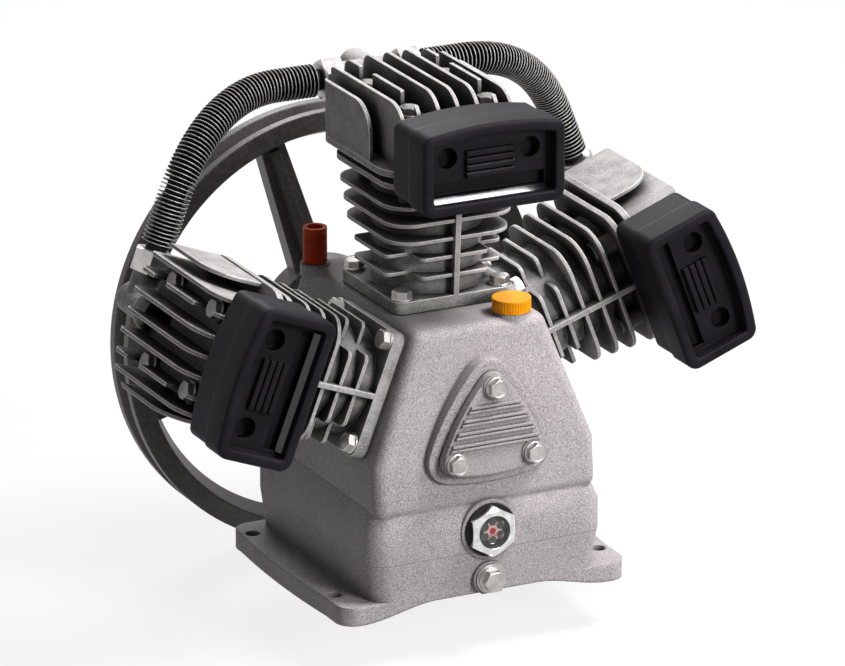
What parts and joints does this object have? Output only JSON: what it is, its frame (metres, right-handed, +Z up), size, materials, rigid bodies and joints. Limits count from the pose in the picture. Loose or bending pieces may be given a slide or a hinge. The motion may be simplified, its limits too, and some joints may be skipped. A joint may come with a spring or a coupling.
{
  "type": "air compressor pump",
  "caption": "belt-driven reciprocating air compressor pump with cylinders fanned in a W, finned heads, intake filters, finned cooling tubes, a spoked flywheel and a flat base",
  "frame": {"origin": "centre of the four foot bolt holes, in the plane of the base's underside", "axes": "+Z up out of the base, +Y along the crankshaft towards the flywheel, +X to the right seen from the front cover"},
  "size_m": [0.4706, 0.3485, 0.41],
  "materials": {
    "case_paint": "silver-grey hammered paint on cast iron",
    "gasket": "compressed fibre sheet",
    "zinc": "bright zinc plate",
    "rubber": "moulded rubber",
    "steel": "ground steel",
    "cast_aluminium": "raw cast aluminium",
    "plastic_black": "satin moulded plastic",
    "filter_foam": "open foam",
    "tube_black": "black paint over wound fins",
    "flywheel_iron": "dark painted iron",
    "cap_orange": "moulded plastic",
    "plug_red": "moulded plastic",
    "chrome": "plated",
    "star_silver": "bright sheet",
    "glass": "clear"
  },
  "bodies": {
    "root": {"crankcase": "case_paint", "front_cover": "case_paint", "front_cover_gasket": "gasket", "front_cover_bolts": "zinc", "rear_bearing_housing": "case_paint", "rear_housing_bolts": "zinc", "oil_seal": "rubber", "front_bearing": "steel", "rear_bearing": "steel", "crankpin": "steel", "rod_left": "cast_aluminium", "rod_centre": "cast_aluminium", "rod_right": "cast_aluminium", "piston_left": "cast_aluminium", "piston_centre": "cast_aluminium", "piston_right": "cast_aluminium", "piston_rings": "steel", "wrist_pins": "steel", "cylinder_left": "cast_aluminium", "cylinder_centre": "cast_aluminium", "cylinder_right": "cast_aluminium", "cylinder_gaskets": "gasket", "cylinder_bolts": "zinc", "valve_plate_left": "steel", "valve_plate_centre": "steel", "valve_plate_right": "steel", "head_gaskets": "gasket", "head_left": "cast_aluminium", "head_centre": "cast_aluminium", "head_right": "cast_aluminium", "head_bolts": "zinc", "filter_base_left": "plastic_black", "filter_base_centre": "plastic_black", "filter_base_right": "plastic_black", "filter_cover_left": "plastic_black", "filter_cover_centre": "plastic_black", "filter_cover_right": "plastic_black", "filter_elements": "filter_foam", "tube_elbow_left": "cast_aluminium", "tube_tee": "cast_aluminium", "tube_elbow_right": "cast_aluminium", "tube_nuts": "zinc", "cooling_tube_left": "tube_black", "cooling_tube_right": "tube_black", "sight_glass_body": "chrome", "sight_glass_seal": "rubber", "sight_glass_star": "star_silver", "sight_glass_lens": "glass", "drain_plug": "zinc", "drain_washer": "zinc"},
    "crank": {"flywheel": "flywheel_iron", "crankshaft": "steel", "flywheel_key": "steel", "flywheel_washer": "zinc", "flywheel_bolt": "zinc"},
    "filler_cap": {"oil_filler_cap": "cap_orange"},
    "breather": {"breather_plug": "plug_red"}
  },
  "joints": [
    {"name": "flywheel_spin", "type": "hinge", "parent": "root", "child": "crank", "pos_m": [0, 0.169, 0.1345], "axis": [0, 1, 0], "continuous": true},
    {"name": "filler_cap_lift", "type": "slide", "parent": "root", "child": "filler_cap", "axis": [0, 0, 1], "range_m": [0, 0.03]},
    {"name": "breather_pull", "type": "slide", "parent": "root", "child": "breather", "axis": [0, 0, 1], "range_m": [0, 0.035]}
  ]
}
